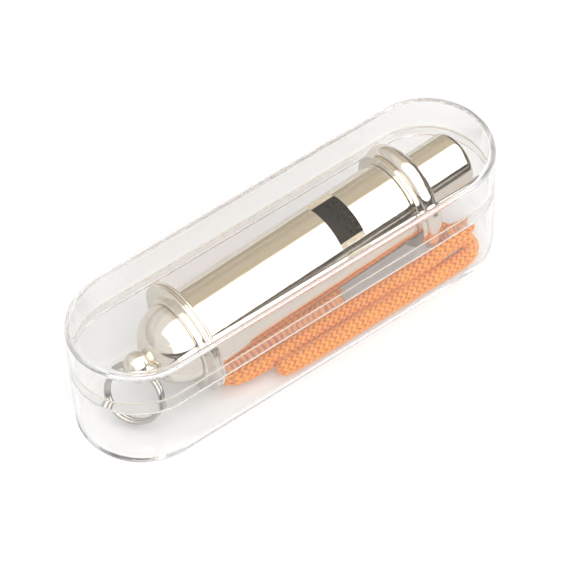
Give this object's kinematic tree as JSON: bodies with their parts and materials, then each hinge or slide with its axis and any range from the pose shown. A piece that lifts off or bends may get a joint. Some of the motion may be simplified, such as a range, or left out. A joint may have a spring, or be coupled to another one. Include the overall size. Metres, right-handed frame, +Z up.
{
  "type": "cased survival whistle",
  "caption": "Plated tube whistle with upper and lower air chambers, a split ring and a folded knitted cord, in a clear round-ended case with a lift-off lid",
  "frame": {"origin": "Centre of the case's underside, on the surface it stands on", "axes": "+X along the case to the whistle's mouth end, +Y across to the far side, +Z up; longest extent along X"},
  "size_m": [0.0954, 0.027, 0.0268],
  "materials": {
    "clear_base": "clear moulded polystyrene, polished",
    "clear_lid": "clear moulded polystyrene, polished",
    "plated_brass": "bright nickel plate on brass",
    "dull_brass": "thin dull nickel plate inside the whistle",
    "ring_steel": "nickel-plated spring steel wire",
    "knitted_cord": "orange knitted cord"
  },
  "bodies": {
    "root": {"case_base": "clear_base", "barrel": "plated_brass", "mouthpiece": "plated_brass", "mouth_collar": "plated_brass", "cap_flange": "plated_brass", "end_cap": "plated_brass", "windway_block": "dull_brass", "chamber_plate": "dull_brass", "upper_stop": "dull_brass", "lower_stop": "dull_brass", "near_folds": "knitted_cord", "far_folds": "knitted_cord"},
    "lid": {"case_lid": "clear_lid"},
    "ring": {"split_ring": "ring_steel"}
  },
  "joints": [
    {"name": "lid_lift", "type": "slide", "parent": "root", "child": "lid", "axis": [0, 0, 1], "range_m": [0, 0.03]},
    {"name": "ring_swing", "type": "hinge", "parent": "root", "child": "ring", "pos_m": [-0.03459, 0.00089, 0.01202], "axis": [-0.5, 0.866, 0], "range_deg": [0, 130]}
  ]
}
